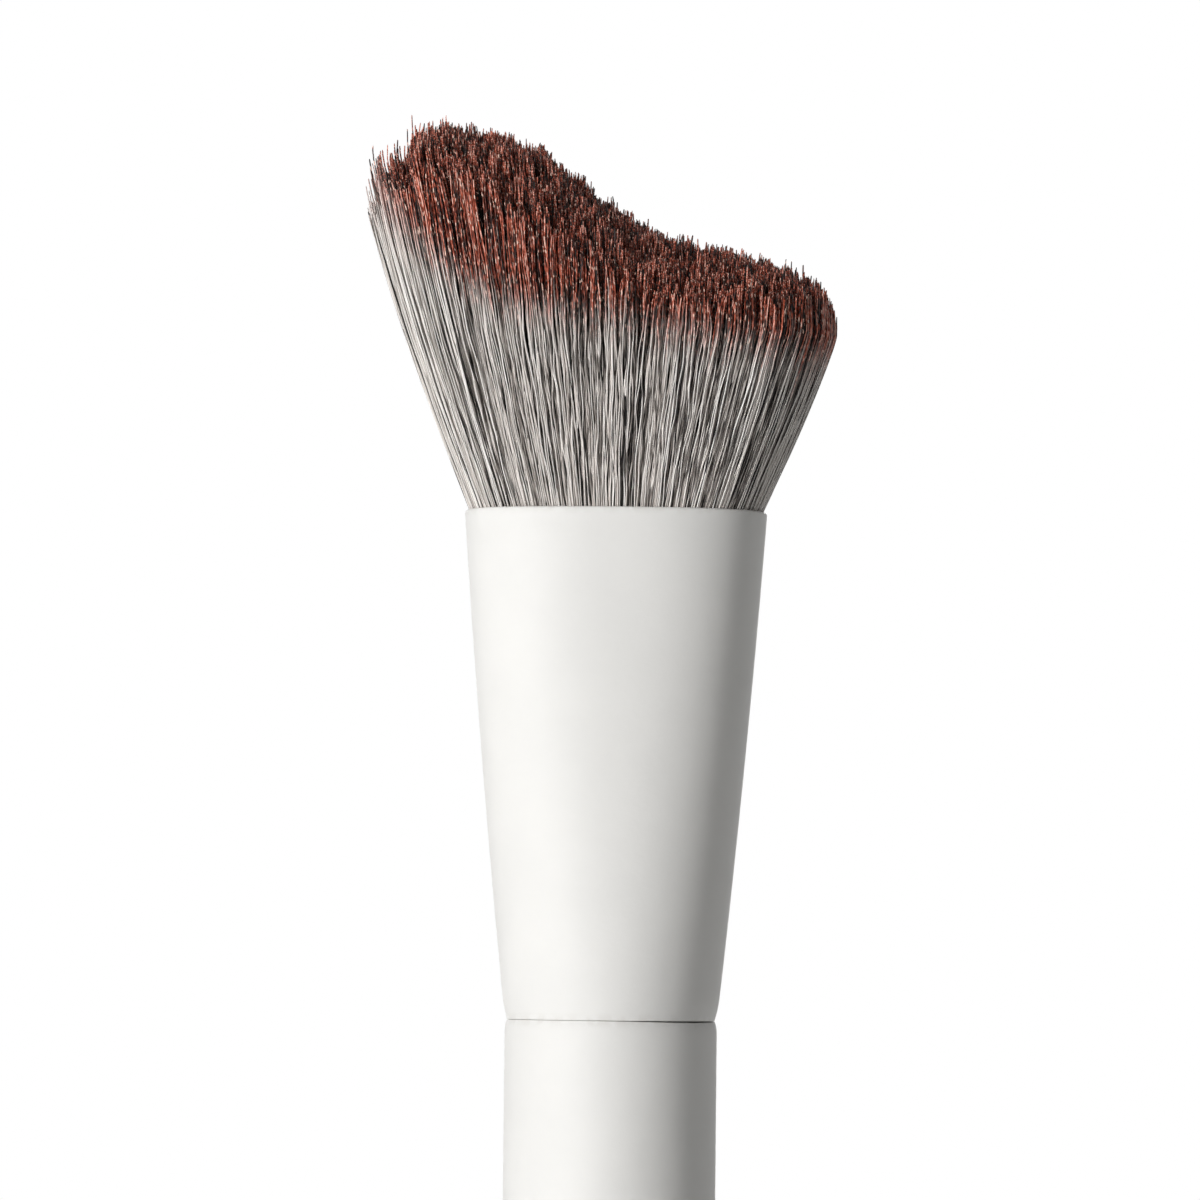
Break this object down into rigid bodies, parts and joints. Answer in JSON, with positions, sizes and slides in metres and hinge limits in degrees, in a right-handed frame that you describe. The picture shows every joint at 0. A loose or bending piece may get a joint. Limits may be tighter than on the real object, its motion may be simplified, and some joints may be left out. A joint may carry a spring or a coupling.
{
  "type": "dual-ended blush brush",
  "caption": "Dual-ended face brush: a straight white tube handle with an angled flared tuft in an oval ferrule at one end and a rounded tuft in a round ferrule at the other.",
  "frame": {"origin": "on the brush's axis at the middle of the straight handle, where it is held", "axes": "+Z along the handle towards the large angled head; +X across the wide side of that head, towards its low lobe; +Y through its thickness, away from the picture's camera"},
  "size_m": [0.0301, 0.0192, 0.176],
  "materials": {
    "white_lacquer": "satin",
    "dyed_filament": "satin",
    "plug_plastic": "matte",
    "root_glue": "gloss",
    "binding_thread": "matte"
  },
  "bodies": {
    "root": {"handle_barrel": "white_lacquer", "large_ferrule": "white_lacquer", "small_ferrule": "white_lacquer", "large_bristles": "dyed_filament", "small_bristles": "dyed_filament", "large_end_plug": "plug_plastic", "small_end_plug": "plug_plastic", "large_root_glue": "root_glue", "small_root_glue": "root_glue", "large_binding_thread": "binding_thread", "small_binding_thread": "binding_thread"}
  },
  "joints": []
}
